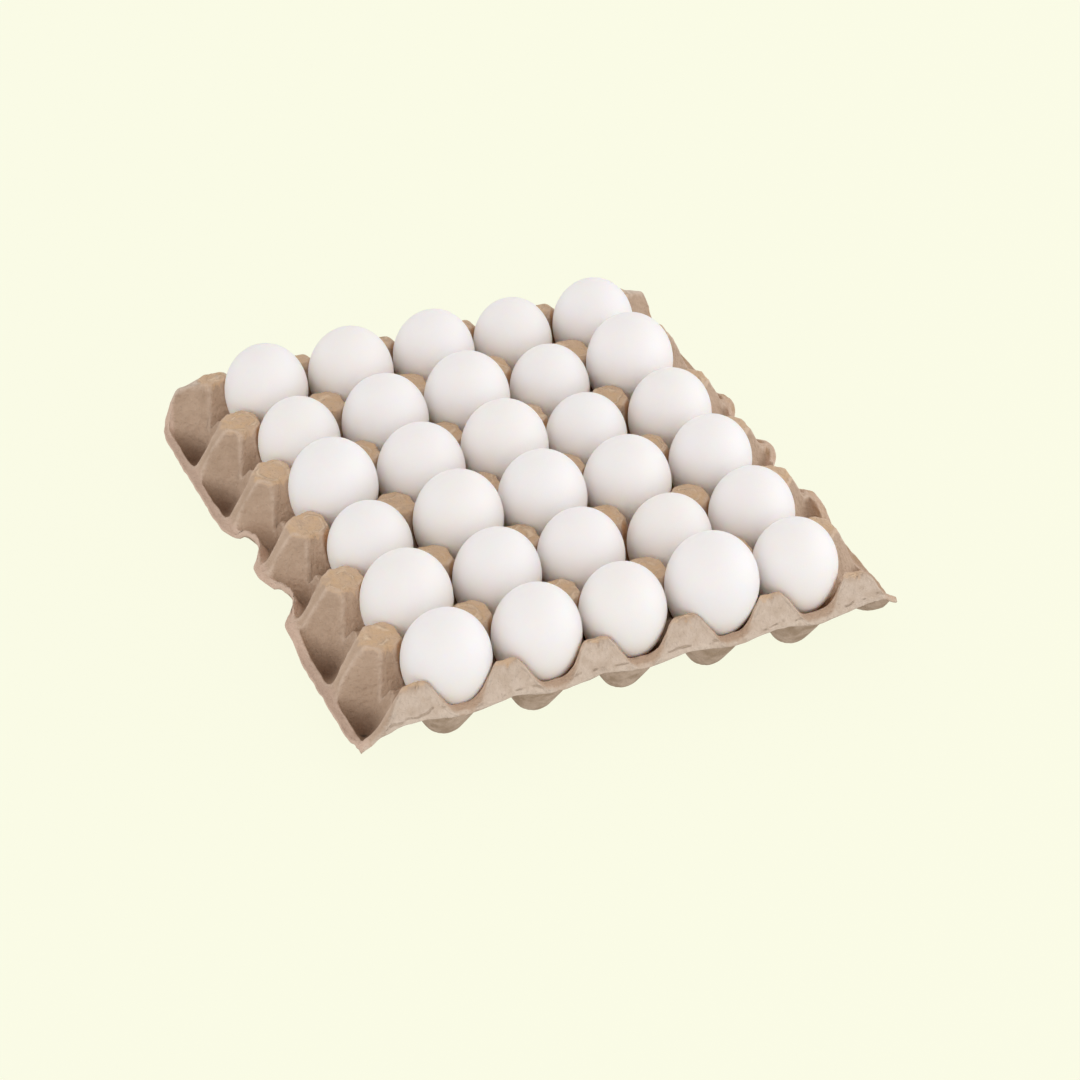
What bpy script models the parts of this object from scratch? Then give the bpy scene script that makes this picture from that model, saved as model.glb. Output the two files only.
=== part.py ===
"""Thirty hens' eggs standing in an open tray of moulded pulp.

The tray is one thin sheet, formed over a grid of posts and cups: five columns by six rows of
full cups, and along the left and right sides a margin of half cups that hold no egg. The sheet
is drawn by its upper surface, facet by facet, and Solidify gives it the pulp's thickness.
The eggs stand blunt end up, one to a cup, in six kinds of girth and height.

Units are metres. X runs along a row of five, Y along a column of six, and Z is up. The origin is
at the middle of the tray, on the surface it stands on.
"""

import math

import bmesh
import bpy
from mathutils import Matrix, Vector

# The grid.
PITCH = 0.048
COLUMNS = 5
ROWS = 6
HALF_X = COLUMNS * PITCH / 2
HALF_Y = ROWS * PITCH / 2
WALL = 0.002

# A post's top is an octagon: REACH is from its middle to a flat side, SIDE is half a side's length.
POST_TOP = 0.047
POST_REACH = 0.0095
POST_SIDE = 0.004

# Between two posts the sheet sags to a narrow flat saddle.
SADDLE_TOP = 0.0325
SADDLE_LENGTH = 0.006
SADDLE_WIDTH = 0.002

# A cup narrows from its top edge to an eight-sided belt, and from there to its floor.
BELT_TOP = 0.026
BELT_REACH = 0.0189
BELT_SIDE = 0.0097
FLOOR_TOP = WALL
FLOOR_REACH = 0.0065
FLOOR_SIDE = 0.0027

# The margin beyond the outer posts, measured outwards from their line.
RIM_INNER = 0.024
RIM_OUTER = 0.030
RIM_TOP = 0.0185
RIM_DROP = 0.0015
RIDGE_WIDTH = 0.0023
POCKET_FLOOR = (0.0168, 0.0195)
POCKET_TOP = 0.0065
POCKET_SIDE = 0.0027

# Two finger notches cut each margin back, one on either side of its middle post. The rim rises to
# a tab at the three posts beside them.
NOTCH_ROWS = (ROWS // 2 - 1, ROWS // 2)
NOTCH_INNER = 0.015
NOTCH_OUTER = 0.0185
NOTCH_HALF = 0.009
NOTCH_RIM = 0.0205
NOTCH_FLOOR = (0.0085, 0.0105)
NOTCH_FLOOR_TOP = 0.011
TAB_INNER = 0.022
TAB_TOP = 0.0245
TAB_DROP = 0.001
MIDDLE_TAB = 0.0275

# The front and back edges: a sloping face cuts off each post, with a narrow flange at its foot.
FACE_TOP_IN = 0.006
FACE_SIDE = POST_REACH + POST_SIDE - FACE_TOP_IN
FACE_FOOT_OUT = 0.0026
FACE_FOOT = 0.0335
FLANGE_OUT = 0.0038
FLANGE_DROP = 0.0008
FOOT_REACH = PITCH / 2 - SADDLE_LENGTH
LIP_TOP = 0.0300

# The wall from a corner post to the rim's corner.
CREST_OUT = 0.018
CREST_IN = 0.004
CREST_TOP = 0.0375
CORNER_FOOT = 0.0290
CORNER_RIM = 0.0240
CORNER_TIP = 0.0190

# Six kinds of egg: widest radius, height of the top above the table, and lean in degrees.
EGG_KINDS = {
    "small": (0.0218, 0.0682, 3.5),
    "slim": (0.0219, 0.0720, 3.0),
    "medium": (0.0224, 0.0710, 2.5),
    "broad": (0.0232, 0.0718, 1.0),
    "large": (0.0232, 0.0742, 1.0),
    "giant": (0.0237, 0.0768, 0.0),
}

# Which kind stands where, from the front row to the back row, left to right.
EGG_ROWS = (
    ("medium", "medium", "slim", "giant", "slim"),
    ("broad", "medium", "medium", "small", "medium"),
    ("small", "large", "large", "broad", "slim"),
    ("large", "broad", "large", "small", "medium"),
    ("small", "broad", "large", "small", "giant"),
    ("medium", "broad", "medium", "small", "medium"),
)

# An egg's blunt end and its narrow end, as shares of its widest radius, and how much the narrow
# end is slimmer than a quarter ellipse.
BLUNT_END = 1.17
NARROW_END = 1.40
NARROW_TAPER = 0.12
EGG_RINGS = 7
EGG_SIDES = 12
LEAN_HEIGHT = 0.028
LEAN_TURN = math.radians(137.5)

# Corners closer together than this are one corner.
MERGE_DISTANCE = 0.00005

PULP_COLOUR = (0.50, 0.37, 0.27, 1.0)
PULP_ROUGHNESS = 0.95
SHELL_COLOUR = (0.86, 0.82, 0.80, 1.0)
SHELL_ROUGHNESS = 0.55


class Sheet:
    """An open surface made of facets that share their corners."""

    def __init__(self):
        self.mesh = bmesh.new()
        self.corners = {}

    def corner(self, point):
        key = tuple(round(value / MERGE_DISTANCE) for value in point)
        if key not in self.corners:
            self.corners[key] = self.mesh.verts.new(point)
        return self.corners[key]

    def facet(self, *points):
        """One facet, turned so that it faces up."""
        face = self.mesh.faces.new([self.corner(point) for point in points])
        face.normal_update()
        if face.normal.z < 0:
            face.normal_flip()

    def strip(self, one, other):
        """Facets between two lines that have the same number of points."""
        for k in range(len(one) - 1):
            self.facet(one[k], one[k + 1], other[k + 1], other[k])


def turned(point, centre, quarters):
    """A point given beside the origin, turned by quarter turns and moved to a centre."""
    x, y, z = point
    for _ in range(quarters):
        x, y = -y, x
    return (centre[0] + x, centre[1] + y, z)


def side_of_cup(at_edge):
    """The height of a cup's side, and how far from the cup's middle its posts' nearest corners are.

    The corner is given by its distance towards the side, and its distance along the side.
    """
    half = PITCH / 2
    if at_edge:
        return LIP_TOP, half - FACE_TOP_IN, half - FACE_SIDE
    return SADDLE_TOP, half - POST_SIDE, half - POST_REACH


def add_cup(sheet, centre, lip_sides):
    """One cup: four sides, four chamfered corners and a floor. Sides in lip_sides meet the edge."""
    half = PITCH / 2
    edge = half - SADDLE_WIDTH
    for side in range(4):
        here, far_here, near_here = side_of_cup(side in lip_sides)
        after, far_next, near_next = side_of_cup((side + 1) % 4 in lip_sides)

        def at(x, y, z):
            return turned((x, y, z), centre, side)

        belt_low = at(BELT_REACH, -BELT_SIDE, BELT_TOP)
        belt_high = at(BELT_REACH, BELT_SIDE, BELT_TOP)
        belt_next = at(BELT_SIDE, BELT_REACH, BELT_TOP)
        floor_low = at(FLOOR_REACH, -FLOOR_SIDE, FLOOR_TOP)
        floor_high = at(FLOOR_REACH, FLOOR_SIDE, FLOOR_TOP)
        floor_next = at(FLOOR_SIDE, FLOOR_REACH, FLOOR_TOP)
        edge_low = at(edge, -SADDLE_LENGTH, here)
        edge_high = at(edge, SADDLE_LENGTH, here)
        edge_next = at(SADDLE_LENGTH, edge, after)
        post_here = at(far_here, near_here, POST_TOP)
        post_next = at(near_next, far_next, POST_TOP)
        sheet.facet(edge_low, edge_high, belt_high, belt_low)
        sheet.facet(belt_low, belt_high, floor_high, floor_low)
        sheet.facet(edge_high, post_here, belt_high)
        sheet.facet(post_here, post_next, belt_next, belt_high)
        sheet.facet(post_next, edge_next, belt_next)
        sheet.facet(belt_high, belt_next, floor_next, floor_high)
    ring = []
    for side in range(4):
        ring.append(turned((FLOOR_REACH, -FLOOR_SIDE, FLOOR_TOP), centre, side))
        ring.append(turned((FLOOR_REACH, FLOOR_SIDE, FLOOR_TOP), centre, side))
    sheet.facet(*ring)


def add_post_top(sheet, centre):
    """The flat octagon on an inner post."""
    ring = []
    for side in range(4):
        ring.append(turned((POST_REACH, -POST_SIDE, POST_TOP), centre, side))
        ring.append(turned((POST_REACH, POST_SIDE, POST_TOP), centre, side))
    sheet.facet(*ring)


def add_saddle(sheet, centre, quarters):
    """A saddle along X, or along Y after a quarter turn, with a flank up to each of its posts."""
    def at(x, y, z):
        return turned((x, y, z), centre, quarters)

    near = SADDLE_LENGTH
    far = PITCH / 2 - POST_REACH
    lines = []
    for sign in (-1, 1):
        lines.append([
            at(-far, sign * POST_SIDE, POST_TOP),
            at(-near, sign * SADDLE_WIDTH, SADDLE_TOP),
            at(near, sign * SADDLE_WIDTH, SADDLE_TOP),
            at(far, sign * POST_SIDE, POST_TOP),
        ])
    sheet.strip(*lines)


def add_corner_wall(sheet, side, end):
    """The wall from a corner post, over a crest halfway, down to the corner of the rim."""
    def at(out_x, out_y, z):
        return (side * (HALF_X + out_x), end * (HALF_Y + out_y), z)

    post = at(FACE_SIDE, -FACE_TOP_IN, POST_TOP)
    crest_in = at(CREST_OUT, -CREST_IN, CREST_TOP)
    crest_out = at(CREST_OUT, 0, CREST_TOP)
    rim_in = at(RIM_INNER, -RIDGE_WIDTH, CORNER_RIM)
    rim_out = at(RIM_INNER, RIDGE_WIDTH, CORNER_RIM)
    foot = at(FOOT_REACH, FACE_FOOT_OUT, CORNER_FOOT)
    belt = at(PITCH / 2 - BELT_SIDE, BELT_REACH - PITCH / 2, BELT_TOP)
    sheet.facet(post, crest_out, crest_in)
    sheet.facet(crest_in, crest_out, rim_out, rim_in)
    sheet.facet(post, crest_out, foot)
    sheet.facet(crest_out, rim_out, foot)
    sheet.facet(post, crest_in, belt)
    sheet.facet(crest_in, rim_in, belt)
    sheet.facet(
        rim_in,
        rim_out,
        at(RIM_OUTER, FLANGE_OUT, CORNER_TIP),
        at(RIM_OUTER, -RIDGE_WIDTH, RIM_TOP - RIM_DROP),
    )


def add_edge(sheet, end):
    """The front edge (end -1) or the back edge (end 1): faces below the posts, lips, and a flange."""
    def at(x, out, z):
        return (x, end * (HALF_Y + out), z)

    foot_line = [at(-HALF_X - RIM_INNER, RIDGE_WIDTH, CORNER_RIM)]
    lip_start = None
    for i in range(COLUMNS + 1):
        x = i * PITCH - HALF_X
        foot_middle = at(x, FACE_FOOT_OUT, FACE_FOOT)
        tops = {}
        feet = {}
        for sign in (-1, 1):
            top_in = at(x + sign * POST_SIDE, -POST_REACH, POST_TOP)
            top_out = at(x + sign * FACE_SIDE, -FACE_TOP_IN, POST_TOP)
            tops[sign] = (top_in, top_out)
            outermost = i == (0 if sign < 0 else COLUMNS)
            foot_top = CORNER_FOOT if outermost else LIP_TOP
            feet[sign] = at(x + sign * FOOT_REACH, FACE_FOOT_OUT, foot_top)
            sheet.facet(top_out, feet[sign], foot_middle)
            if not outermost:
                lip_in = at(x + sign * FOOT_REACH, -SADDLE_WIDTH, LIP_TOP)
                sheet.facet(lip_in, top_out, feet[sign])
                if sign < 0:
                    sheet.facet(*lip_start, feet[sign], lip_in)
                else:
                    lip_start = (lip_in, feet[sign])
        sheet.facet(*tops[-1][::-1], *tops[1])
        sheet.facet(tops[-1][1], tops[1][1], foot_middle)
        foot_line += [feet[-1], foot_middle, feet[1]]
    foot_line.append(at(HALF_X + RIM_INNER, RIDGE_WIDTH, CORNER_RIM))
    flange_line = [at(x, FLANGE_OUT, z - FLANGE_DROP) for x, _, z in foot_line]
    flange_line[0] = at(-HALF_X - RIM_OUTER, FLANGE_OUT, CORNER_TIP)
    flange_line[-1] = at(HALF_X + RIM_OUTER, FLANGE_OUT, CORNER_TIP)
    sheet.strip(foot_line, flange_line)


def rim_beside(post):
    """The rim beside one post of an outer column: how far out it starts and ends, and its height."""
    if post in (0, ROWS):
        return RIM_INNER, RIM_OUTER, CORNER_RIM, RIM_TOP - RIM_DROP
    if post == ROWS // 2:
        return TAB_INNER, MIDDLE_TAB, TAB_TOP, TAB_TOP - TAB_DROP
    if abs(post - ROWS // 2) == 1:
        return TAB_INNER, RIM_OUTER, TAB_TOP, TAB_TOP - TAB_DROP
    return RIM_INNER, RIM_OUTER, RIM_TOP, RIM_TOP - RIM_DROP


def add_pocket(sheet, side, row, rim_line, outer_line):
    """One half cup of the margin, and its stretch of the rim's inner and outer lines."""
    middle = (row + 0.5) * PITCH - HALF_Y

    def at(out, along, z):
        return (side * (HALF_X + out), middle + along, z)

    half = PITCH / 2
    notched = row in NOTCH_ROWS
    floor_in, floor_out = NOTCH_FLOOR if notched else POCKET_FLOOR
    floor_top = NOTCH_FLOOR_TOP if notched else POCKET_TOP
    belt_out = half - BELT_REACH
    inner = {}
    outer = {}
    floor = {}
    for sign in (-1, 1):
        rim_in, rim_out, inner_top, outer_top = rim_beside(row if sign < 0 else row + 1)
        inner[sign] = [at(rim_in, sign * (half - RIDGE_WIDTH), inner_top)]
        outer[sign] = [at(rim_out, sign * (half - RIDGE_WIDTH), outer_top)]
        if notched:
            inner[sign].append(at(NOTCH_INNER, sign * NOTCH_HALF, NOTCH_RIM))
            outer[sign].append(at(NOTCH_OUTER, sign * NOTCH_HALF, NOTCH_RIM - RIM_DROP))
        belt_near = at(belt_out, sign * BELT_SIDE, BELT_TOP)
        belt_far = at(half - BELT_SIDE, sign * BELT_REACH, BELT_TOP)
        corner = (row if sign < 0 else row + 1) in (0, ROWS)
        post_near = at(POST_SIDE, sign * (half - POST_REACH), POST_TOP)
        post_far = at(POST_REACH, sign * (half - POST_SIDE), POST_TOP)
        if corner:
            post_far = at(FACE_SIDE, sign * (half - FACE_TOP_IN), POST_TOP)
        floor_near = at(floor_in, sign * POCKET_SIDE, floor_top)
        floor_far = at(floor_out, sign * POCKET_SIDE, floor_top)
        floor[sign] = (floor_near, floor_far)
        sheet.facet(at(SADDLE_WIDTH, sign * SADDLE_LENGTH, SADDLE_TOP), post_near, belt_near)
        sheet.facet(post_near, post_far, belt_far, belt_near)
        sheet.facet(belt_near, belt_far, floor_near)
        if not corner:
            sheet.facet(post_far, inner[sign][0], belt_far)
        if notched:
            sheet.facet(belt_far, *inner[sign])
        sheet.facet(belt_far, inner[sign][-1], floor_far, floor_near)
    saddle_ends = [at(SADDLE_WIDTH, sign * SADDLE_LENGTH, SADDLE_TOP) for sign in (-1, 1)]
    belt_ends = [at(belt_out, sign * BELT_SIDE, BELT_TOP) for sign in (1, -1)]
    sheet.facet(*saddle_ends, *belt_ends)
    sheet.facet(*belt_ends, floor[-1][0], floor[1][0])
    sheet.facet(floor[-1][0], floor[1][0], floor[1][1], floor[-1][1])
    sheet.facet(inner[-1][-1], inner[1][-1], floor[1][1], floor[-1][1])
    rim_line += inner[-1] + inner[1][::-1]
    outer_line += outer[-1] + outer[1][::-1]


def add_margin(sheet, side):
    """The left (side -1) or right (side 1) margin: half cups, the ridges between them, the rim."""
    rim_line = []
    outer_line = []
    for row in range(ROWS):
        add_pocket(sheet, side, row, rim_line, outer_line)
    sheet.strip(rim_line, outer_line)
    for post in range(1, ROWS):
        y = post * PITCH - HALF_Y
        rim_in, _, rim_top, _ = rim_beside(post)
        sheet.facet(
            (side * (HALF_X + POST_REACH), y - POST_SIDE, POST_TOP),
            (side * (HALF_X + POST_REACH), y + POST_SIDE, POST_TOP),
            (side * (HALF_X + rim_in), y + RIDGE_WIDTH, rim_top),
            (side * (HALF_X + rim_in), y - RIDGE_WIDTH, rim_top),
        )
    for end in (-1, 1):
        add_corner_wall(sheet, side, end)


def tray_surface():
    """The tray's whole upper surface, as one open mesh of triangles."""
    sheet = Sheet()
    for column in range(COLUMNS):
        for row in range(ROWS):
            lip_sides = []
            if row == 0:
                lip_sides.append(3)
            if row == ROWS - 1:
                lip_sides.append(1)
            x = (column + 0.5) * PITCH - HALF_X
            y = (row + 0.5) * PITCH - HALF_Y
            add_cup(sheet, (x, y), lip_sides)
            if row:
                add_saddle(sheet, (x, y - PITCH / 2), 0)
    for i in range(COLUMNS + 1):
        x = i * PITCH - HALF_X
        for row in range(ROWS):
            y = (row + 0.5) * PITCH - HALF_Y
            add_saddle(sheet, (x, y), 1)
            if row:
                add_post_top(sheet, (x, y - PITCH / 2))
    for end in (-1, 1):
        add_edge(sheet, end)
    for side in (-1, 1):
        add_margin(sheet, side)
    bmesh.ops.triangulate(sheet.mesh, faces=sheet.mesh.faces[:])
    mesh = bpy.data.meshes.new("tray")
    sheet.mesh.to_mesh(mesh)
    sheet.mesh.free()
    return mesh


def egg_profile(radius):
    """Half an egg's outline, from the blunt top to the narrow foot: two quarter ellipses.

    The origin is on the egg's axis, at its widest place.
    """
    points = []
    for k in range(EGG_RINGS + 1):
        angle = math.pi * k / EGG_RINGS
        rise = math.cos(angle)
        if rise > 0:
            points.append((radius * math.sin(angle), 0.0, radius * BLUNT_END * rise))
        else:
            girth = radius * math.sin(angle) * (1 - NARROW_TAPER * rise * rise)
            points.append((girth, 0.0, radius * NARROW_END * rise))
    points[0] = (0.0, 0.0, points[0][2])
    points[-1] = (0.0, 0.0, points[-1][2])
    return points


def egg_mesh(kind):
    """The outline of one kind of egg, which a Screw modifier turns about Z."""
    points = egg_profile(EGG_KINDS[kind][0])
    edges = [(k, k + 1) for k in range(len(points) - 1)]
    mesh = bpy.data.meshes.new("egg_" + kind)
    mesh.from_pydata(points, edges, [])
    return mesh


def egg_place(column, row):
    """Where an egg stands: it leans a little about a point low in its cup."""
    radius, top, lean = EGG_KINDS[EGG_ROWS[row][column]]
    index = row * COLUMNS + column
    direction = index * LEAN_TURN
    axis = Vector((math.cos(direction), math.sin(direction), 0.0))
    x = (column + 0.5) * PITCH - HALF_X
    y = (row + 0.5) * PITCH - HALF_Y
    pivot = Vector((x, y, LEAN_HEIGHT))
    rise = Vector((0.0, 0.0, top - BLUNT_END * radius - LEAN_HEIGHT))
    tilt = Matrix.Rotation(math.radians(lean), 4, axis)
    return Matrix.Translation(pivot) @ tilt @ Matrix.Translation(rise)


def make_material(name, colour, roughness):
    material = bpy.data.materials.new(name)
    material.use_nodes = True
    shader = material.node_tree.nodes["Principled BSDF"]
    shader.inputs["Base Color"].default_value = colour
    shader.inputs["Roughness"].default_value = roughness
    shader.inputs["Metallic"].default_value = 0.0
    return material


def make_tray(collection, material):
    tray = bpy.data.objects.new("tray", tray_surface())
    tray.data.materials.append(material)
    collection.objects.link(tray)
    wall = tray.modifiers.new("wall", "SOLIDIFY")
    wall.thickness = WALL
    wall.offset = -1.0
    wall.use_even_offset = True
    return tray


def make_egg(collection, material, mesh, column, row):
    egg = bpy.data.objects.new(f"egg_{row + 1}_{column + 1}", mesh)
    egg.matrix_world = egg_place(column, row)
    collection.objects.link(egg)
    turn = egg.modifiers.new("turn", "SCREW")
    turn.steps = EGG_SIDES
    turn.render_steps = EGG_SIDES
    turn.use_merge_vertices = True
    turn.merge_threshold = MERGE_DISTANCE
    turn.use_smooth_shade = True
    return egg


def main():
    for thing in list(bpy.data.objects):
        bpy.data.objects.remove(thing)
    collection = bpy.data.collections.new("egg_tray")
    bpy.context.scene.collection.children.link(collection)
    make_tray(collection, make_material("pulp", PULP_COLOUR, PULP_ROUGHNESS))
    eggshell = make_material("eggshell", SHELL_COLOUR, SHELL_ROUGHNESS)
    meshes = {}
    for kind in EGG_KINDS:
        meshes[kind] = egg_mesh(kind)
        meshes[kind].materials.append(eggshell)
    for row in range(ROWS):
        for column in range(COLUMNS):
            make_egg(collection, eggshell, meshes[EGG_ROWS[row][column]], column, row)


main()
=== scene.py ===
"""An open tray of moulded pulp, and the thirty white eggs that stand in it.

The tray is one sheet. Its upper face is where a level function is zero, and its lower face is
where the same function has fallen by the sheet's thickness. The level function is a distance from
the sheet, built from the planes of the cups, posts and rim with soft least and greatest values,
so that every fold is rounded. Metres throughout, Z up, the origin in the middle of the tray.
"""

import math

import bpy
import numpy as np
from mathutils import Matrix, Vector


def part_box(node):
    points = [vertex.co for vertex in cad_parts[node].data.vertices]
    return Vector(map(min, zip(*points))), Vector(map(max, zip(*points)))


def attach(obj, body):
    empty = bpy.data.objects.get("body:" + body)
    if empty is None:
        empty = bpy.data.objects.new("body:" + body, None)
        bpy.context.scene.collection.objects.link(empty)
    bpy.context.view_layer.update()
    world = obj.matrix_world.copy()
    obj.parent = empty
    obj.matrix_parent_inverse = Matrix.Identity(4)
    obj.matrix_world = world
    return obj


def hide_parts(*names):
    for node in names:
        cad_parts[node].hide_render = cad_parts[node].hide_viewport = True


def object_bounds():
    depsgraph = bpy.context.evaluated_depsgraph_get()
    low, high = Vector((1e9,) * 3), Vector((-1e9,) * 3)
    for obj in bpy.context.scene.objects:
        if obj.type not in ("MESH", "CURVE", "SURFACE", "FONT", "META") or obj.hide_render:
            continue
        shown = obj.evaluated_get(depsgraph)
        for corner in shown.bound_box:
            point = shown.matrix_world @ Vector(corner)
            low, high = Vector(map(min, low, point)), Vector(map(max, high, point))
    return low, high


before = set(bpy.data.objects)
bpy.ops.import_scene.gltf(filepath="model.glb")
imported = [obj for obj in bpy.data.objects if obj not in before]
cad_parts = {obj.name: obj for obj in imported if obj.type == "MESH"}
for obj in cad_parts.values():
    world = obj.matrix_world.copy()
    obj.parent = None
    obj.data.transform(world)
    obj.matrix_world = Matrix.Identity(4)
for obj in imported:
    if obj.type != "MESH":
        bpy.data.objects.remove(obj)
cad_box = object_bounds()

# The grid of cups and posts.
PITCH = 0.048
HALF = PITCH / 2
COLUMNS = 5
ROWS = 6
HALF_X = COLUMNS * HALF
HALF_Y = ROWS * HALF
THICKNESS = 0.002

# Step used for slopes, and the rounds of halving and the span of heights that find the sheet.
SLOPE_STEP = 0.0002
HALVINGS = 26
LOWEST = -0.02
HIGHEST = 0.06

# The cups and posts. A cup's side and its chamfer each have their own profile: (reach, height).
POST_TOP = 0.047
SADDLE_TOP = 0.0310
SADDLE_HALF = 0.0024
SADDLE_DRAFT = 0.30
POST_SIDE = ((0.0, 0.0230), (0.0052, 0.0234), (0.0070, 0.0256), (0.0111, 0.0360),
             (0.0145, POST_TOP), (0.03, POST_TOP))
LIP_PROFILE = ((0.0, 0.0320), (0.0065, 0.0320), (0.0165, POST_TOP), (0.03, POST_TOP))
FLOOR_TOP = 0.0012
SIDE_PROFILE = ((0.0082, FLOOR_TOP), (0.0114, 0.0055), (0.0162, 0.0190), (0.0208, SADDLE_TOP))
CHAMFER_PROFILE = ((0.0086, FLOOR_TOP), (0.0120, 0.0055), (0.0170, 0.0180), (0.0203, 0.0270),
                   (0.0243, POST_TOP))
POCKET_SIDE = ((0.0140, 0.008), (0.022, SADDLE_TOP))

# The front and back edges. A sloping face cuts each post off, down to a narrow flange. Values by
# end are for the front, -1, and the back, 1. The rows of the grid beyond the post line follow.
LIP_TOP = 0.0320
FACE_TOP_OUT = {-1: -0.0060, 1: 0.0004}
FACE_FOOT_OUT = {-1: 0.0014, 1: 0.0024}
FACE_FOOT = 0.0358
EDGE_OUT = 0.0034
EDGE_FALL = 0.28
FLANGE_START = -0.002
FLANGE_DROP = 1.2
FRONT_ROWS = (EDGE_OUT, 0.0023, 0.0014)
BACK_ROWS = (0.0006, 0.0024, EDGE_OUT)

# The side margins, measured outwards from the line of the outer posts. The ridges fall from the
# posts' tops by a slope and a curve, and end in three tabs with two notches between them.
NOTCHED_ROWS = (2, 3)
POCKET_FLOOR = (0.0168, 0.0190, 0.0060)
NOTCH_FLOOR = (0.0085, 0.0105, 0.0110)
FLOOR_HALF = 0.0027
SIDE_FOOT = (0.0051, 0.026)
POCKET_CHAMFER = ((0.0075, 0.0060), (0.0140, 0.0125), (0.0171, 0.0200), (0.0244, POST_TOP))
RIDGE_START = (0.0095, 0.0200, POST_TOP)
RIDGE_SLOPE = 1.5
RIDGE_CURVE = 24.4
RIDGE_SIDE = ((0.0240, 0.0217, 0.0185), (0.0163, 0.0194, 0.0277), (0.0193, 0.0189, 0.0187))
TAB_SIDE = ((0.0225, 0.0217, 0.0245), (0.0163, 0.0194, 0.0277), (0.0163, 0.0194, 0.0277))
CORNER_SIDE = ((0.0240, 0.0195, 0.0185), (0.0160, 0.0178, 0.0277), (0.0190, 0.0172, 0.0187))
RIM_IN = 0.0254
RIM_TOP = 0.0185
RIM_FALL = 0.22
RIM_LINE = ((-0.100, 0.0293), (-0.050, 0.0292), (-0.024, 0.0284), (0.0, 0.0270),
            (0.024, 0.0280), (0.050, 0.0288), (0.134, 0.0288), (0.148, 0.0250))
FRONT_END = ((-0.148, 0.0235), (-0.140, 0.0190), (-0.132, RIM_TOP), (-0.068, RIM_TOP))
BACK_END = ((0.068, RIM_TOP), (0.132, RIM_TOP), (0.140, 0.0180), (0.148, 0.0200))
TAB_TOP = {-1: 0.0245, 1: 0.0285}
BACK_TAB_TOP = {-1: 0.0200, 1: 0.0261}
TAB_SLANT = 0.001
NOTCH_RIM = 0.0205
NOTCH_SHAPE = ((0.0065, 1.0), (0.0185, 0.0))
NOTCH_IN = 0.0102
NOTCH_OUT = 0.0184

# The corner walls: the heights of their crests and of the flanges at their feet, by distance out,
# and the slope that keeps each wall below the rim beside it.
FRONT_CREST = ((0.005, POST_TOP), (0.011, 0.0425), (0.0143, 0.0362), (0.0187, 0.0305),
               (0.0248, 0.0240), (0.030, 0.0215))
BACK_CREST = ((0.003, POST_TOP), (0.0120, 0.0425), (0.0145, 0.0415), (0.0190, 0.0412),
              (0.0225, 0.0330), (0.0258, 0.0190))
FRONT_CORNER_FOOT = ((0.0, FACE_FOOT), (0.006, 0.0358), (0.0106, 0.0350), (0.018, 0.0312),
                     (0.024, 0.0260), (0.030, 0.0212))
BACK_CORNER_FOOT = ((0.0, FACE_FOOT), (0.010, 0.0325), (0.018, 0.0290), (0.022, 0.0240),
                    (0.026, 0.0150))
INWARD_SLOPE = ((0.010, 0.0172), (0.022, 0.0252))
INWARD_SPAN = (RIM_IN - 0.0006, RIM_IN - 0.0046)
INWARD_OFF = 0.05

# How far each kind of fold is rounded, and how far each kind of line has its corners eased.
WALL_BLEND = ((0.010, 0.0020), (0.022, 0.0014), (0.040, 0.0006))
EDGE_BLEND = 0.0005
FACE_BLEND = 0.0007
FOOT_BLEND = 0.0005
WEB_EASE = 0.0006
LIP_EASE = 0.0024
CREST_EASE = 0.0015
CORNER_FOOT_EASE = 0.002
RIM_LINE_EASE = 0.003
NOTCH_EASE = 0.0045
RIM_EASE = 0.005

# The raised bead along every edge where a cup's wall meets the top of the web.
BEAD = 0.00036
BEAD_WIDTH = 0.0011

# The sheet's rounded outer edge: where its rows lie between the faces, and how far it bulges.
EDGE_SHARES = (0.25, 0.5, 0.75)
EDGE_BULGE = 0.0006

# The pulp's unevenness, each kind as its depth, its size and the seed of its noise, and where each
# runs from nothing to its full depth: heights, and distances past the margin's or an end's line.
SWAY = ((0.0005, 0.036, 11), (0.0005, 0.036, 12), (0.0006, 0.050, 13))
BROAD = (0.00042, 0.0080, 21)
FINE = (0.00020, 0.0034, 22)
WORN = (0.00038, 0.0046, 23)
FOLDS = (0.00045, 0.0065, 24)
CREASES = (0.00045, 0.0058, 25)
FINE_CREASES = (0.00012, 0.0030, 26)
FRAY = (0.0005, 0.0040, 31)
FREE_HEIGHTS = (0.024, 0.034)
FREE_MARGIN = (0.001, 0.005)
WORN_HEIGHTS = (0.044, 0.046)
FOLDS_MARGIN = (0.020, 0.024)
CREASES_SPAN = (-0.005, -0.003)

# How far and where the corners' edges draw in and the front edge's low parts rise, and where and
# how far the front right corner is crushed.
CORNER_DRAW = 0.0028
CORNER_X = (0.132, 0.148)
CORNER_Y = (0.139, 0.147)
FRONT_LIFT = 0.0004
FRONT_LIFT_Y = (-0.116, -0.126)
FRONT_LIFT_Z = (0.020, 0)
CRUSH = (0.150, -0.148)
CRUSH_REACH = 0.018
CRUSH_IN = 0.0070
CRUSH_UP = 0.0080

# Where the masks for the colours run from 0 to 1: heights, and distances past a line.
WALL_DEPTH = 0.0025
# The deep mask paints shade with some stain: darker towards the pockets' bottoms.
DEEP_SHADE_HEIGHTS = (0.021, 0.007)
TOP_HEIGHTS = (0.0442, 0.0457)
TOP_FROM_FRONT = (0.0045, 0.0075)
OUTSIDE_SLOPE = 0.66
OUTSIDE_SPAN = (-0.0072, -0.0060)
LIP_SPAN = (0.0002, 0.0008)
RIM_SPAN = (-0.0052, -0.0042)

# A small painted dark spot in the bottom of the front left half cup: the shade inside a pit there.
PIT = (-0.1390, -0.1230)
PIT_REACH = 0.0016

# An egg's reach above and below its widest place, in radii, how much its lower part is slimmed,
# the height of the pivot that it leans from, and the height and span of its lower part, warmed
# by painted bounce light.
EGG_ABOVE = 1.17
EGG_BELOW = 1.40
EGG_SLIM = 0.12
EGG_PIVOT = 0.028
EGG_BOUNCE_LOW = (0.057, 0.035)

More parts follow.
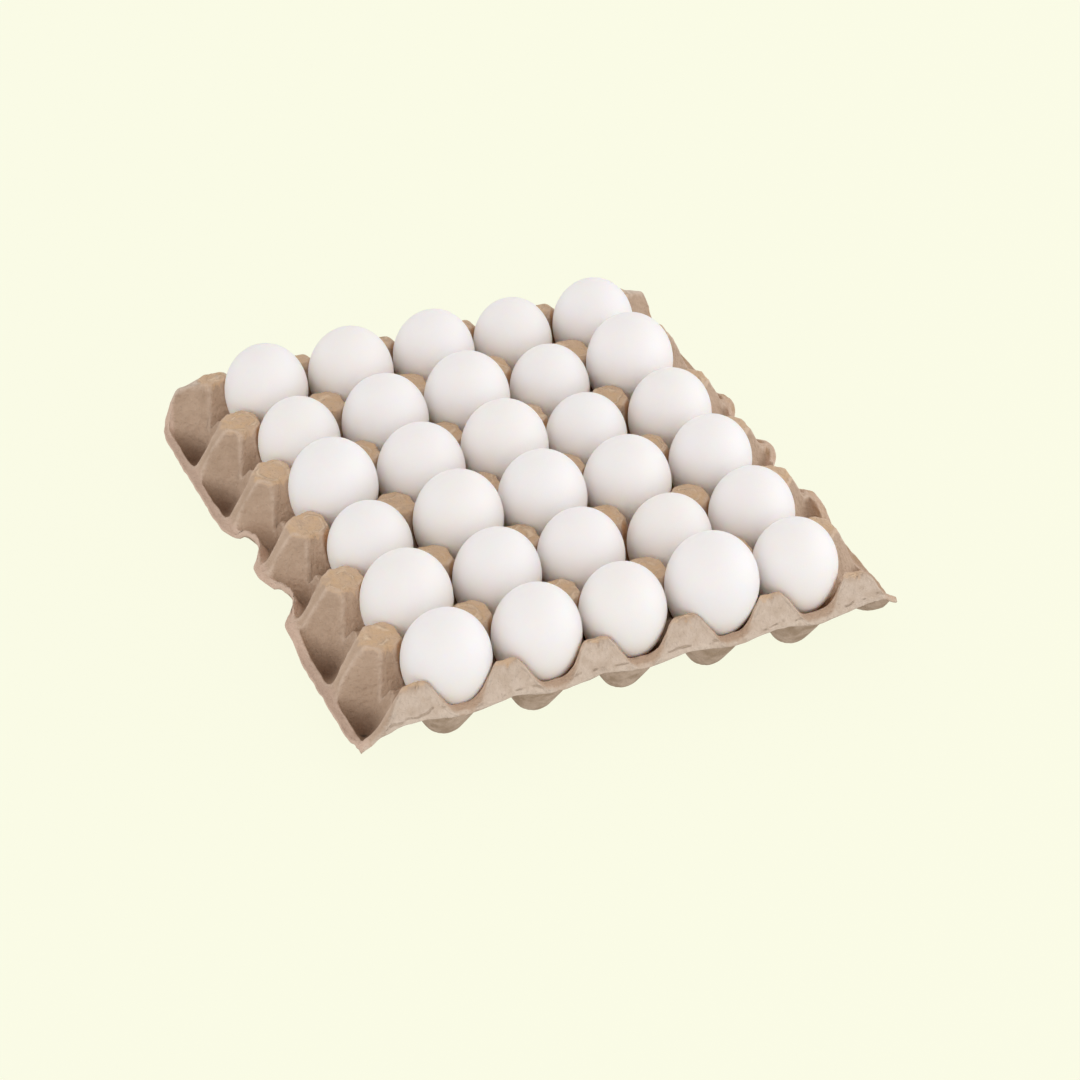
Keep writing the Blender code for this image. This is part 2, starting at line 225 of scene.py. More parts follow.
# Eggs that stand off the middle of their cups, by (row, column), and how far to the right.
OFF_MIDDLE = {(2, 0): 0.0011, (4, 0): 0.0008, (4, 2): -0.0008, (4, 3): 0.0013, (5, 3): 0.0013}

# The room kept between an egg and each face of the sheet, how softly and from how far the sheet
# gives way, the share of an egg's reach where it does, and the least run from its axis.
UPPER_ROOM = 0.0001
LOWER_ROOM = 0.0009
PRESS_EASE = 0.0003
PRESS_REACH = 0.004
PRESS_SHARE = 0.9
PRESS_NEAREST = 0.001

# How far inside its box the sheet is kept, on all four sides.
BOX_MARGIN = 0.0001

# The grids: rings in each fan, and places along half a cell's side in millimetres. A ray is
# measured at fine steps, where a radian of turning counts as some length, and shade for less.
CUP_RINGS = 19
POCKET_RINGS = 29
UNDER_RINGS = 12
UPPER_HALF = (0, 3.2, 5.6, 7.6, 9.8, 12.0, 13.8, 15.2, 17.2, 20.4, 24.0)
UNDER_HALF = (0, 5.5, 10.5, 14.5, 19.0, 24.0)
EDGE_HALF = tuple(range(0, 24, 2)) + (24,)
ACROSS_STEPS = 15
EDGE_ACROSS_STEPS = 19
FINE_STEPS = 220
TURNING_LENGTH = 0.012
SHADE_HEIGHT = 0.024
SHADE_SHARE = 0.2
EGG_RINGS = 40
EGG_SIDES = 64

# The pulp's colours.
PULP_PALE = (0.60, 0.445, 0.325, 1)
PULP_GREY = (0.50, 0.36, 0.255, 1)
PULP_RIM = (0.69, 0.51, 0.395, 1)
PULP_TAN = (0.67, 0.48, 0.32, 1)
# Painted highlight along the crests.
PULP_CREST_HIGHLIGHT = (0.70, 0.55, 0.43, 1)
PULP_OCHRE = (0.69, 0.475, 0.285, 1)
# Painted bounce light: a warm brown that brightens the gaps inside the full cups.
PULP_BOUNCE_WARM = (0.70, 0.43, 0.24, 1)
# Painted shade with some stain, for the pockets' bottoms.
PULP_SHADE_AND_STAIN = (0.14, 0.065, 0.03, 1)
PULP_ASH = (0.66, 0.54, 0.435, 1)
PULP_FLECK = (0.40, 0.30, 0.23, 1)
PULP_STAIN = (0.54, 0.36, 0.21, 1)
PULP_DULL = (0.59, 0.47, 0.365, 1)
# Painted highlight for the end faces' rounded borders and the flanges.
PULP_HIGHLIGHT = (0.72, 0.60, 0.485, 1)
# Painted highlight for the raised wavy band on the posts' tops.
PULP_RING_HIGHLIGHT = (0.84, 0.65, 0.46, 1)
# Painted shade for the sheet's underside.
PULP_UNDERSIDE_SHADE = (0.56, 0.43, 0.32, 1)
PULP_SHADE = (0.40, 0.29, 0.195, 1)
# Painted shade for the inside of a small pit.
PULP_PIT_SHADE = (0.03, 0.018, 0.012, 1)

# The pulp's grains: size, the noise that becomes 0 and the noise that becomes 1, and detail.
PULP_GRAINS = {
    "clouds": (0.014, 0.35, 0.70, 4.0), "mottle": (0.0045, 0.40, 0.62, 4.0),
    "stain": (0.010, 0.35, 0.60, 3.0), "ash": (0.0055, 0.42, 0.62, 3.0),
    "border": (0.006, 0.30, 0.55, 2.0), "under": (0.007, 0.40, 0.62, 4.0),
    "flange_light": (0.0030, 0.35, 0.60, 3.0), "fold": (0.006, 0.45, 0.54, 3.0),
    "ochre": (0.006, 0.42, 0.62, 2.0), "ring": (0.007, 0.42, 0.56, 2.0),
    "ragged": (0.004, 0.3, 0.7, 2.0), "wear_and_highlight": (0.004, 0.30, 0.60, 2.0),
    "fleck": (0.0011, 0.66, 0.74, 2.0), "fibres": (0.0022, 0.2, 0.8, 4.0),
    "lumps": (0.0045, 0.3, 0.7, 3.0),
}

# The most that each effect tints the pulp, and how high each stands in its bump.
PULP_TINTS = {"mottle": 0.3, "stain": 0.8, "border": 0.8, "flange_light": 0.65, "fold": 0.6, "ochre": 0.8,
              "ring": 0.8, "wear_and_highlight": 0.7, "fleck": 0.5}
PULP_HEIGHTS = {"ring": 1.2, "border": 1.5, "lumps": 0.8, "fold": 0.8}
RAGGED = 0.8
RAGGED_SPAN = (0.75, 1.3)
PULP_ROUGHNESS = 0.95
PULP_BUMP = {"Strength": 0.8, "Distance": 0.0009}

# The post ring group: the wave's scale and depth and its share in the lines, the chamfered
# distance's share, and each line's place and the distances from it where it ends and is full.
WAVE_SCALE = 100.0
WAVE_DEPTH = 0.014
WAVE_SHARE = 0.3
ASKEW_SHARE = 0.7
RING_AT = 0.0058
RING_WIDTHS = (0.0015, 0.0003)
BORDER_SLANT = 0.80
BORDER_AT = 0.0438
BORDER_WIDTHS = (0.0018, 0.0004)
FOLD_AT = 0.146
FOLD_WIDTHS = (0.0005, 0.0001)

# The eggshell.
SHELL_WHITE = (0.96, 0.94, 0.94, 1)
SHELL_WARM = (0.96, 0.92, 0.90, 1)
# Painted bounce light: a warm peach for the eggs' lower parts.
SHELL_BOUNCE_WARM = (1.0, 0.915, 0.85, 1)
SHELL_BLOTCH = (0.012, 0.45, 0.75, 3.0)
SHELL_BLOTCH_TINT = 0.35
SHELL_PITS = (0.0009, 0.3, 0.7, 3.0)
SHELL_ROUGHNESS = 0.42
SHELL_SUBSURFACE = {"Subsurface Weight": 0.6, "Subsurface Scale": 0.012,
                    "Subsurface Radius": (1.0, 0.7, 0.5)}
SHELL_BUMP = {"Strength": 0.25, "Distance": 0.0001}

# The camera: azimuth, height and roll in degrees, its target, its distance and its lens.
CAMERA_ANGLES = (-26.845, 37.181, 3.545)
CAMERA_TARGET = (0.0120, 0.0005, 0.0)
CAMERA_FAR = 1.6826
CAMERA_LENS = 106.05
CAMERA_SENSOR = 36.0
CAMERA_CLIP = 20.0

# The floor, the sky from the horizon to overhead, and the lights: place, size, power, colour.
FLOOR_HALF_SIZE = 6.0
FLOOR_BASE = (0.05, 0.05, 0.04, 1)
FLOOR_COLOUR = (0.956, 0.965, 0.791, 1)
FLOOR_LIGHT = (0.94, 0.92, 0.89, 1)
FLOOR_GLOW = (0.66, 0.955)
SKY_LOW = (1.13, 1.12, 1.15, 1)
SKY_HIGH = (0.675, 0.645, 0.615, 1)
LIGHTS = {"key": ((1.5, -0.6, 0.6), 1.5, 7.0, (0.92, 0.96, 1.0)),
          "fill": ((-0.9, -1.4, 0.5), 1.5, 3.0, (1.0, 0.96, 0.93))}


def ramp(value, low, high):
    """0 at low and before it, 1 at high and beyond it, straight in between."""
    return np.clip((value - low) / (high - low), 0, 1)


def spot(points, place, reach):
    """1 at a place in plan, falling off with the distance d from it as exp(-(d / reach)^2)."""
    return np.exp(-((points[:, 0] - place[0]) ** 2 + (points[:, 1] - place[1]) ** 2) / reach ** 2)


def soft_min(values, blend):
    """The least of several values, -b ln(sum of exp(-v/b)), rounded where two are within b."""
    values = np.stack(np.broadcast_arrays(*values))
    least = values.min(axis=0)
    return least - blend * np.log(np.exp((least - values) / blend).sum(axis=0))


def bowl_blend(z):
    """The rounding between a cup's walls: crisp near the posts' tops, wide at the bottom."""
    return np.interp(z, *zip(*WALL_BLEND))


def soft_max(values, blend):
    """The greatest of several values, rounded in the same way."""
    return -soft_min([-value for value in values], blend)


def slope_level(run, z, low, high):
    """Distance above the slope through two (run, height) points: cross product over its length."""
    d_run = high[0] - low[0]
    d_z = high[1] - low[1]
    return ((z - low[1]) * d_run - (run - low[0]) * d_z) / math.hypot(d_run, d_z)


def plane_level(u, v, z, a, b, c):
    """Distance above the plane through three points: n . (p - a), n being its upward normal."""
    normal = np.cross(np.subtract(b, a), np.subtract(c, a))
    normal = normal / np.linalg.norm(normal) * math.copysign(1.0, normal[2])
    return (u - a[0]) * normal[0] + (v - a[1]) * normal[1] + (z - a[2]) * normal[2]


def curve_level(z, height, slope):
    """Distance above a curved profile of known height and slope: (z - h) / sqrt(1 + slope^2)."""
    return (z - height) / np.sqrt(1 + slope * slope)


def eased(at, points, softness):
    """A line through (place, value) points, eased by the mean of seven values nearby."""
    places, values = zip(*points)
    shifts = softness * np.linspace(-1, 1, 7)
    return sum(np.interp(at + shift, places, values) for shift in shifts) / len(shifts)


def profile_level(along, z, points, softness):
    """Distance above an eased line of (place, height) points, from its height and its slope."""
    height = eased(along, points, softness)
    after = eased(along + SLOPE_STEP, points, softness)
    before = eased(along - SLOPE_STEP, points, softness)
    return curve_level(z, height, (after - before) / (2 * SLOPE_STEP))


def web_level(along, z):
    """The web between two cups, by the distance from its middle: two posts' sides and a saddle."""
    saddle = soft_max([z - SADDLE_TOP, along - SADDLE_HALF - SADDLE_DRAFT * (SADDLE_TOP - z)],
                      EDGE_BLEND)
    return soft_min([profile_level(along, z, POST_SIDE, WEB_EASE), saddle], EDGE_BLEND)


def face_level(out, z, end):
    """Distance above the half posts' outer face: a long slope in front, a steep one behind."""
    return -slope_level(out, z, (FACE_FOOT_OUT[end], FACE_FOOT), (FACE_TOP_OUT[end], POST_TOP))


def flange_level(out, z, foot, end):
    """Distance above the flange: level under the face, falling outwards and falling inside."""
    fall = EDGE_FALL * np.maximum(out - FACE_FOOT_OUT[end], 0)
    fall = fall + FLANGE_DROP * np.maximum(FLANGE_START - out, 0)
    return z - (foot - fall)


def cup_parts(u, v, z, end):
    """A full cup's hollow and the web around it. end: -1 in the front row, 1 in the back, else 0.

    The hollow is the soft least of the distances above its floor and above the stretches of four
    sides and four chamfers. At an end, the face cuts the web and the flange is added to it.
    """
    walls = [z - FLOOR_TOP]
    for turn in range(4):
        across = u * math.cos(turn * math.pi / 2) + v * math.sin(turn * math.pi / 2)
        corner = turn * math.pi / 2 + math.pi / 4
        askew = u * math.cos(corner) + v * math.sin(corner)
        for low, high in zip(SIDE_PROFILE[:-1], SIDE_PROFILE[1:]):
            walls.append(slope_level(across, z, low, high))
        for low, high in zip(CHAMFER_PROFILE[:-1], CHAMFER_PROFILE[1:]):
            walls.append(slope_level(askew, z, low, high))
    cup = soft_min(walls, bowl_blend(z))
    along = np.minimum(abs(u), abs(v))
    web = web_level(along, z)
    if end:
        lip = profile_level(along, z, LIP_PROFILE, LIP_EASE)
        web = np.where(v * end > abs(u), lip, web)
        out = v * end - HALF
        foot = LIP_TOP + (FACE_FOOT - LIP_TOP) * (1 - np.cos(2 * math.pi * u / PITCH)) / 2
        web = soft_max([web, face_level(out, z, end)], FACE_BLEND)
        web = soft_min([web, flange_level(out, z, foot, end)], FOOT_BLEND)
    return cup, web


def crest_mask(hollow, web):
    """1 on an edge between a hollow and the web, falling off with the distance from both faces."""
    return np.exp(-(hollow * hollow + web * web) / BEAD_WIDTH ** 2)


def sheet_level(hollow, web):
    """The sheet from its two parts: whichever is the greater, with a bead along their edge."""
    return soft_max([hollow, web], EDGE_BLEND) - BEAD * crest_mask(hollow, web)


def rim_height(y, side):
    """The rim's height along a side: level, up to three tabs, lower in the notches between."""
    tab = TAB_TOP[side]
    back_tab = BACK_TAB_TOP[side]
    points = FRONT_END + (
        (-0.056, tab - TAB_SLANT), (-0.042, tab), (-0.030, NOTCH_RIM), (-0.018, NOTCH_RIM),
        (-0.007, tab), (0.007, tab), (0.018, NOTCH_RIM), (0.030, NOTCH_RIM),
        (0.042, back_tab), (0.056, back_tab - TAB_SLANT)) + BACK_END
    return eased(y, points, RIM_EASE)


def notch(y):
    """How far a finger notch has opened at y: 1 in its middle, falling to 0 at its tabs."""
    return eased(abs(abs(y) - HALF), NOTCH_SHAPE, NOTCH_EASE)


def rim_inner(y):
    """How far out the rim starts."""
    return RIM_IN - NOTCH_IN * notch(y)


def rim_outer(y):
    """How far out the rim ends: a straight side, with the notches and a shorter middle tab."""
    full = eased(y, RIM_LINE, RIM_LINE_EASE)
    return full - (full - NOTCH_OUT) * notch(y)


def ridge_sides(out, across, z, points, bottom):
    """The two walls beside a ridge: down from its edge, and on from its foot to the bottom."""
    foot, knee, belt = points
    return [plane_level(out, across, z, RIDGE_START, foot, knee),
            plane_level(out, across, z, belt, foot, bottom)]


def ridge_height(out):
    """A ridge's height and slope: the post's top, less a slope and a curve times the run."""
    run = np.maximum(out - RIDGE_START[0], 0)
    return (POST_TOP - RIDGE_SLOPE * run - RIDGE_CURVE * run * run,
            RIDGE_SLOPE + 2 * RIDGE_CURVE * run)


def crest_height(out, end):
    """The corner wall's height: a slope in front, a long shoulder and a steep drop at the back."""
    return eased(out, FRONT_CREST if end < 0 else BACK_CREST, CREST_EASE)


def pocket_parts(out, v, z, row, side):
    """A margin half cup's hollow and the web and rim around it, from its post line outwards.

    The hollow is the soft least of the distances above its floor and its walls: the cup's side,
    the outer wall up to the rim, the chamfers under the posts and the sides of the ridges.
    """
    notched = row in NOTCHED_ROWS
    near, far, floor = NOTCH_FLOOR if notched else POCKET_FLOOR
    bottom = (far, FLOOR_HALF, floor)
    end = {0: -1, ROWS - 1: 1}.get(row, 0)
    y = (row + 0.5) * PITCH - HALF_Y + v
    across = abs(v)
    askew = (HALF - out + across) / math.sqrt(2)
    inner = rim_inner(y)
    top = rim_height(y, side)
    wall_run = inner - far
    wall_rise = top - floor
    wall = ((z - floor) * wall_run - (out - far) * wall_rise) / np.hypot(wall_run, wall_rise)
    walls = [
        z - floor,
        slope_level(HALF - out, z, *POCKET_SIDE),
        slope_level(HALF - out, z, (HALF - near, floor), (HALF - SIDE_FOOT[0], SIDE_FOOT[1])),
        wall,
    ]
    for low, high in zip(POCKET_CHAMFER[:-1], POCKET_CHAMFER[1:]):
        walls.append(slope_level(askew, z, low, high))
    sides = ridge_sides(out, across, z, TAB_SIDE if notched else RIDGE_SIDE, bottom)
    if end:
        corner_sides = ridge_sides(out, across, z, CORNER_SIDE, bottom)
        sides = [np.where(v * end > 0, *pair) for pair in zip(corner_sides, sides)]
    walls += sides
    pocket = soft_min(walls, bowl_blend(z))
    height, slope = ridge_height(out)
    web = web_level(across, z)
    ridge = soft_max([web, curve_level(z, height, slope)], EDGE_BLEND)
    if end:
        beyond = v * end - HALF
        crest = curve_level(z, crest_height(out, end), 1.0)
        inward = slope_level(across, z, *INWARD_SLOPE) - INWARD_OFF * ramp(out, *INWARD_SPAN)
        corner = soft_max([web, crest, inward, face_level(beyond, z, end)], EDGE_BLEND)
        foot = eased(out, FRONT_CORNER_FOOT if end < 0 else BACK_CORNER_FOOT, CORNER_FOOT_EASE)
        corner = soft_min([corner, flange_level(beyond, z, foot, end)], FOOT_BLEND)
        ridge = np.where(v * end > 0, corner, ridge)
    rim = z - (top - RIM_FALL * (out - inner))
    return pocket, soft_min([ridge, rim], FOOT_BLEND)


def height_where(parts, u, v, depth):
    """The height z where the sheet's level is -depth, found by halving the span that holds it."""
    low = np.full(u.shape, LOWEST)
    high = np.full(u.shape, HIGHEST)
    for _ in range(HALVINGS):
        middle = (low + high) / 2
        above = sheet_level(*parts(u, v, middle)) > -depth
        high = np.where(above, middle, high)
        low = np.where(above, low, middle)
    return (low + high) / 2


def mirrored(half):
    """Places along a cell's side, in metres, from its middle outwards both ways in millimetres."""
    half = np.array(half) / 1000
    return np.concatenate([-half[:0:-1], half])


def outline(low_v, high_u, high_v, low_u):
    """The points of a rectangle's outline, anticlockwise from its low corner, each point once.

    Each side has its own places: u along the two level sides, v along the two upright ones.
    """
    u = [low_v[:-1], np.full(len(high_u) - 1, low_v[-1]), high_v[:0:-1],
         np.full(len(low_u) - 1, low_v[0])]
    v = [np.full(len(low_v) - 1, high_u[0]), high_u[:-1], np.full(len(high_v) - 1, high_u[-1]),
         low_u[:0:-1]]
    return np.concatenate(u), np.concatenate(v)


def fan(parts, middle, edge_u, edge_v, rings, depth, shade=0.0):
    """Rays from a cell's middle to its outline, as points with their crest mask, and quads.

    A point's share of its ray is chosen so that equal steps cover equal amounts of the profile's
    length plus a part of its turning, so that folds get more rings. What lies lower than shade
    counts for less. The middle is the last point, with triangles around it.
    """
    share = np.linspace(0, 1, FINE_STEPS)[None, :]
    u = middle[0] + (edge_u[:, None] - middle[0]) * share
    v = middle[1] + (edge_v[:, None] - middle[1]) * share
    z = height_where(parts, u, v, depth)
    run = np.hypot(np.diff(u), np.diff(v))
    rise = np.diff(z)
    turning = abs(np.gradient(np.arctan2(rise, run), axis=1))
    weight = np.where(z[:, 1:] < shade, SHADE_SHARE, 1.0)
    steps = (np.hypot(run, rise) + TURNING_LENGTH * turning) * weight
    length = np.concatenate([np.zeros((len(u), 1)), np.cumsum(steps, axis=1)], axis=1)
    length = length / length[:, -1:]
    rows = 2.0 * np.arange(len(u))[:, None]
    wanted = np.arange(1, rings + 1)[None, :] / rings
    share = np.interp((wanted + rows).ravel(), (length + rows).ravel(), (share + 0 * rows).ravel())
    share = share.reshape(len(u), rings)
    u = np.append(middle[0] + (edge_u[:, None] - middle[0]) * share, middle[0])
    v = np.append(middle[1] + (edge_v[:, None] - middle[1]) * share, middle[1])
    z = height_where(parts, u, v, depth)
    hollow, web = parts(u, v, z)
    inside = np.clip(-web / WALL_DEPTH, 0, 1)
    points = np.stack([u, v, z, crest_mask(hollow, web), inside], axis=1)
    index = np.arange(len(u) - 1).reshape(-1, rings)
    after = np.roll(index, -1, axis=0)
    quads = np.stack([index[:, :-1], index[:, 1:], after[:, 1:], after[:, :-1]], axis=-1)
    hub = np.full(len(index), len(u) - 1)
    spokes = np.stack([hub, index[:, 0], after[:, 0], hub], axis=-1)
    return points, np.vstack([quads.reshape(-1, 4), spokes])


def extended(places, row):
    """A side's places, with three more beyond the post line in the front and the back row."""
    if row == 0:
        return np.concatenate([-HALF - np.array(FRONT_ROWS), places])
    if row == ROWS - 1:
        return np.concatenate([places, HALF + np.array(BACK_ROWS)])
    return places


def cup_middle(row, column):
    """The middle of a full cup in plan."""
    return (column + 0.5) * PITCH - HALF_X, (row + 0.5) * PITCH - HALF_Y


def cup_fans(places, edge_places, rings, depth):
    """The thirty full cups' fans, each kind made once and moved to its places."""
    meshes = []
    for end, rows in ((-1, [0]), (0, range(1, ROWS - 1)), (1, [ROWS - 1])):
        def parts(u, v, z, end=end):
            return cup_parts(u, v, z, end)

        sides = extended(places, rows[0])
        low_v = edge_places if end < 0 else places
        high_v = edge_places if end > 0 else places
        edge_u, edge_v = outline(low_v, sides, high_v, sides)
        shade = SHADE_HEIGHT if depth == 0 else 0
        points, quads = fan(parts, (0, 0), edge_u, edge_v, rings, depth, shade)
        for row in rows:
            for column in range(COLUMNS):
                meshes.append((points + (*cup_middle(row, column), 0, 0, 0), quads))
    return meshes


def pocket_fan(row, side, places, edge_places, rings, depth):
    """One margin half cup's fan. Its outline's outer side follows the rim's outer line."""
    def parts(out, v, z):
        return pocket_parts(out, v, z, row, side)

    centre = (row + 0.5) * PITCH - HALF_Y
    across = np.linspace(0, 1, ACROSS_STEPS)
    edge_across = np.linspace(0, 1, EDGE_ACROSS_STEPS)
    low_v = edge_across if row == 0 else across
    high_v = edge_across if row == ROWS - 1 else across
    share, edge_v = outline(low_v, extended(edge_places, row), high_v, extended(places, row))
    edge_out = share * rim_outer(centre + edge_v)
    near, far, _ = NOTCH_FLOOR if row in NOTCHED_ROWS else POCKET_FLOOR
    points, quads = fan(parts, ((near + far) / 2, 0.0), edge_out, edge_v, rings, depth)
    points = points * (side, 1, 1, 1, 1) + (side * HALF_X, centre, 0, 0, 0)
    if side < 0:
        quads = quads[:, ::-1]
    return points, quads


def face(half, cup_rings, pocket_rings, depth):
    """One face of the sheet: every cell's fan, with points at one place in plan made one."""
    places = mirrored(half)
    edge_places = mirrored(EDGE_HALF)
    meshes = cup_fans(places, edge_places, cup_rings, depth)
    for side in (-1, 1):
        for row in range(ROWS):
            meshes.append(pocket_fan(row, side, places, edge_places, pocket_rings, depth))
    offsets = np.cumsum([0] + [len(points) for points, _ in meshes])
    points = np.vstack([points for points, _ in meshes])
    quads = np.vstack([quads + offset for (_, quads), offset in zip(meshes, offsets)])
    key = np.round(points[:, :2] * 1e6).astype(np.int64)
    _, first, back = np.unique(key, axis=0, return_index=True, return_inverse=True)
    return points[first], back.ravel()[quads]


def edge_loop(points, quads):
    """The surface's outer edge, as indices in order round the tray."""
    sides = np.vstack([quads[:, [k, (k + 1) % 4]] for k in range(4)])
    sides = sides[sides[:, 0] != sides[:, 1]]
    key = np.sort(sides, axis=1)
    _, first, count = np.unique(key, axis=0, return_index=True, return_counts=True)
    rim = np.unique(sides[first[count == 1]])
    return rim[np.argsort(np.arctan2(points[rim, 1], points[rim, 0]))]


def noise(points, size, seed):
    """Smooth noise between -1 and 1: random values on a lattice of that size, eased in between."""
    values = np.random.default_rng(seed).uniform(-1, 1, (32, 32, 32))
    at = points / size
    cell = np.floor(at).astype(int)
    part = at - cell
    part = part * part * (3 - 2 * part)
    total = np.zeros(len(points))
    for corner in range(8):
        step = np.array([corner & 1, corner >> 1 & 1, corner >> 2 & 1])
        share = np.prod(np.where(step, part, 1 - part), axis=1)
        i, j, k = ((cell + step) % 32).T
        total += share * values[i, j, k]
    return total


def uneven(points, kind):
    """One kind of unevenness: its depth times noise of its size and seed."""
    depth, size, seed = kind
    return depth * noise(points, size, seed)


def vertex_normals(points, quads):
    """Each point's unit normal: the sum of its faces' crossed diagonals, made one long."""
    corners = [points[quads[:, k]] for k in range(4)]
    crossed = np.cross(corners[2] - corners[0], corners[3] - corners[1])
    normals = np.zeros_like(points)
    for k in range(4):
        for axis in range(3):
            normals[:, axis] += np.bincount(quads[:, k], crossed[:, axis], len(points))
    return normals / np.maximum(np.linalg.norm(normals, axis=1), 1e-12)[:, None]


def relief(points, crest):
    """How far the sheet stands proud: broad and fine noise, and more where the crests wear.

    Folds along the rim and creases on the end faces are taken off. All of it dies away inside the
    full cups, where the eggs stand close.
    """
    x, y, z = points.T
    margin = abs(x) - HALF_X
    beyond = abs(y) - HALF_Y
    free = np.maximum(ramp(z, *FREE_HEIGHTS), ramp(margin, *FREE_MARGIN))
    creases = uneven(points * (1, 1, 0.5), CREASES) + uneven(points, FINE_CREASES)
    broad = uneven(points * (1, 1, 0.6), BROAD)
    fine = uneven(points, FINE)
    wear_and_highlight = uneven(points, WORN) * np.maximum(crest, ramp(z, *WORN_HEIGHTS))
    folds = abs(uneven(points * (1, 1, 2), FOLDS)) * ramp(margin, *FOLDS_MARGIN)
    creases = creases * ramp(beyond, *CREASES_SPAN)
    return (broad + fine + wear_and_highlight - folds - creases) * free


def settled(points):
    """The tray's own unevenness: each point moves a little by smooth noise, more where it is free.

    The corners' edges draw in, and the front right corner is crushed inwards and up.
    """
    x, y, z = points.T
    moved = points.copy()
    lift = ramp(z, 0, POST_TOP)
    flat = points * (1, 1, 0.3)
    for axis, kind in enumerate(SWAY):
        moved[:, axis] += uneven(flat, kind) * lift
    corner = ramp(abs(x), *CORNER_X) * ramp(abs(y), *CORNER_Y)
    moved[:, 1] -= CORNER_DRAW * np.sign(y) * corner
    moved[:, 2] += FRONT_LIFT * ramp(y, *FRONT_LIFT_Y) * ramp(z, *FRONT_LIFT_Z)
    near = spot(points, CRUSH, CRUSH_REACH)
    moved[:, 0] -= CRUSH_IN * near
    moved[:, 2] += CRUSH_UP * near
    return moved


def egg_place(row, column):
    """An egg's radius, the middle of its widest place and its turn, all from its CAD node's box.

    The egg is as tall as the node and leans from a pivot low in the cup.
    """
    low, high = (Vector(corner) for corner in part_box(f"egg_{row + 1}_{column + 1}"))
    pivot = Vector((*cup_middle(row, column), EGG_PIVOT))
    axis = ((low + high) / 2 - pivot).normalized()
    radius = (high.z - low.z) / (EGG_ABOVE + EGG_BELOW)
    turn = Vector((0, 0, 1)).rotation_difference(axis).to_matrix()
    place = np.array(pivot + axis * (high.z - pivot.z - EGG_ABOVE * radius))
    place[0] += OFF_MIDDLE.get((row, column), 0.0)
    return radius, place, np.array(turn)


def egg_girth(radius, share):
    """An egg's girth at a share s of its reach: r sqrt(1 - s^2), slimmed below by part of s^2."""
    low = np.minimum(share, 0)
    return radius * np.sqrt(1 - share * share) * (1 - EGG_SLIM * low * low)


def pressed(points, room):
    """The sheet pressed back by the eggs, so that none of them cuts into it.

    A point that is nearer to an egg's side than its room moves straight out from the egg's axis,
    by half of the shortfall d plus half of the root of d squared plus a small square.
    """
    for row in range(ROWS):
        for column in range(COLUMNS):
            radius, place, turn = egg_place(row, column)
            local = (points - place) @ turn
            run = np.hypot(local[:, 0], local[:, 1])
            reach = radius * np.where(local[:, 2] < 0, EGG_BELOW, EGG_ABOVE)
            share = np.clip(local[:, 2] / reach, -1, 1)
            short = egg_girth(radius, share) + room - run
            near = (short > -PRESS_REACH) & (abs(share) < PRESS_SHARE)
            push = near * (short + np.sqrt(short * short + PRESS_EASE ** 2)) / 2
            local[:, :2] *= (1 + push / np.maximum(run, PRESS_NEAREST))[:, None]
            points = np.where(near[:, None], local @ turn.T + place, points)
    return points


def closed_sheet():
    """Both faces of the sheet with a rounded, frayed edge between them, and the faces' counts."""
    upper, upper_quads = face(UPPER_HALF, CUP_RINGS, POCKET_RINGS, 0.0)
    lower, lower_quads = face(UNDER_HALF, UNDER_RINGS, UNDER_RINGS, THICKNESS)
    lower[:, 3:] = 0
    upper_edge = edge_loop(upper, upper_quads)
    lower_edge = edge_loop(lower, lower_quads)
    count = len(upper_edge)
    ahead = np.roll(upper[upper_edge, :3], -1, axis=0) - np.roll(upper[upper_edge, :3], 1, axis=0)
    flat = np.zeros(count)
    outward = np.stack([ahead[:, 1], -ahead[:, 0], flat, flat, flat], axis=1)
    outward /= np.linalg.norm(outward, axis=1)[:, None]
    frayed = uneven(upper[upper_edge, :3], FRAY)[:, None] * outward
    upper[upper_edge] += frayed
    lower[lower_edge] += frayed
    start = len(upper) + len(lower)
    blocks = [upper, lower]
    rows = [upper_edge]
    for k, share in enumerate(EDGE_SHARES):
        between = upper[upper_edge] * (1 - share) + lower[lower_edge] * share
        blocks.append(between + outward * EDGE_BULGE * math.sin(math.pi * share))
        rows.append(start + k * count + np.arange(count))
    rows.append(lower_edge + len(upper))
    strips = [np.stack([one, other, np.roll(other, -1), np.roll(one, -1)], axis=1)
              for one, other in zip(rows[:-1], rows[1:])]
    quads = np.vstack([upper_quads, lower_quads[:, ::-1] + len(upper)] + strips)
    return np.vstack(blocks), quads, len(upper), len(lower)


def colour_masks(points, crest, inside, is_upper, is_under):
    """The masks that the pulp's colours follow, each 0 to 1 over the sheet."""
    x, y, z = points.T
    beyond = abs(y) - HALF_Y
    past_foot = beyond - np.where(y < 0, FACE_FOOT_OUT[-1], FACE_FOOT_OUT[1])
    rim = ramp(abs(x) - HALF_X - rim_outer(y), *RIM_SPAN)
    outside = ramp(beyond - (POST_TOP - z) * OUTSIDE_SLOPE, *OUTSIDE_SPAN)
    return {
        "crest": crest,
        # Painted shade with some stain: darker towards the pockets' bottoms on the upper face.
        "deep_shade_and_stain": ramp(z, *DEEP_SHADE_HEIGHTS) * is_upper,
        "top": ramp(z, *TOP_HEIGHTS) * is_upper * ramp(y + HALF_Y, *TOP_FROM_FRONT),
        # Painted shade: the whole lower face is darker.
        "under": 1.0 * is_under,
        "lip": ramp(past_foot, *LIP_SPAN) * ~is_under,
        # Painted shade: a dark spot standing for the shade inside a small pit.
        "pit": spot(points, PIT, PIT_REACH) * is_upper,
        "outside": outside * ~is_under,
        # Painted bounce light: warmer and brighter in the full cups, well below the web's top.
        "inner": inside * (abs(x) < HALF_X) * (abs(y) < HALF_Y),
        "rim": rim,
        "stained": rim * (x > 0) * ~is_under,
    }


